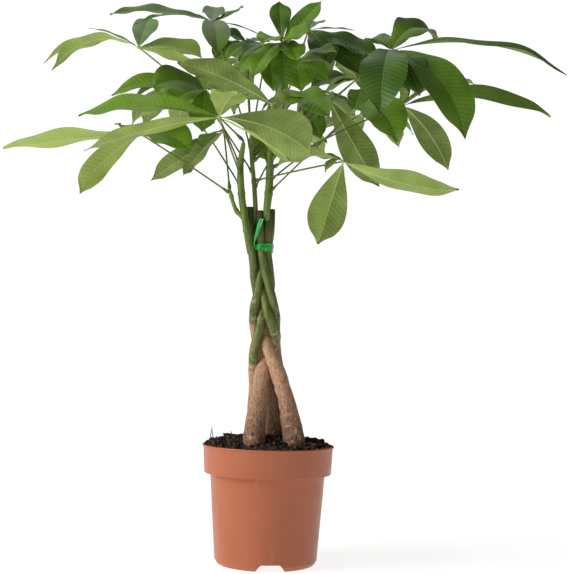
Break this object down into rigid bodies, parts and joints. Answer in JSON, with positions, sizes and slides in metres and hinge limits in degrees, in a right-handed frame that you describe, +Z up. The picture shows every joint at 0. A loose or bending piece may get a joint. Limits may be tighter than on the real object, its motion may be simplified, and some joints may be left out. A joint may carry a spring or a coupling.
{
  "type": "potted money tree",
  "caption": "Houseplant with braided stems, green shoots and palm-shaped compound leaves, standing in a tapered plastic nursery pot of soil.",
  "frame": {"origin": "middle of the pot's underside, on the ground", "axes": "+Z up, -Y towards the front of the plant, +X to its right"},
  "size_m": [0.7154, 0.4398, 0.7655],
  "materials": {
    "pot_plastic": "moulded terracotta-coloured polypropylene, satin",
    "potting_soil": "dark peat crumbs with pale fibres",
    "bark": "brown corky bark at the foot, green above",
    "green_shoot": "smooth green skin, satin",
    "leaf": "glossy green above, paler and matt below",
    "tie_plastic": "bright green plastic ribbon"
  },
  "bodies": {
    "root": {"pot": "pot_plastic", "soil": "potting_soil", "stem_front_left": "bark", "stem_front_right": "bark", "stem_back_left": "bark", "stem_middle": "bark", "stem_back_right": "bark", "shoot_left": "green_shoot", "shoot_middle": "green_shoot", "shoot_right": "green_shoot", "side_branch": "green_shoot", "tie": "tie_plastic", "leaf_01": "leaf", "leaf_02": "leaf", "leaf_03": "leaf", "leaf_04": "leaf", "leaf_05": "leaf", "leaf_06": "leaf", "leaf_07": "leaf", "leaf_08": "leaf", "leaf_09": "leaf", "leaf_10": "leaf", "leaf_11": "leaf", "leaf_12": "leaf", "leaf_13": "leaf", "leaf_14": "leaf", "leaf_15": "leaf", "leaf_16": "leaf", "leaf_17": "leaf", "leaf_18": "leaf", "leaf_19": "leaf", "leaf_20": "leaf", "leaf_21": "leaf", "leaf_22": "leaf", "leaf_23": "leaf", "leaf_24": "leaf", "leaf_25": "leaf", "leaf_26": "leaf", "leaf_27": "leaf"}
  },
  "joints": []
}
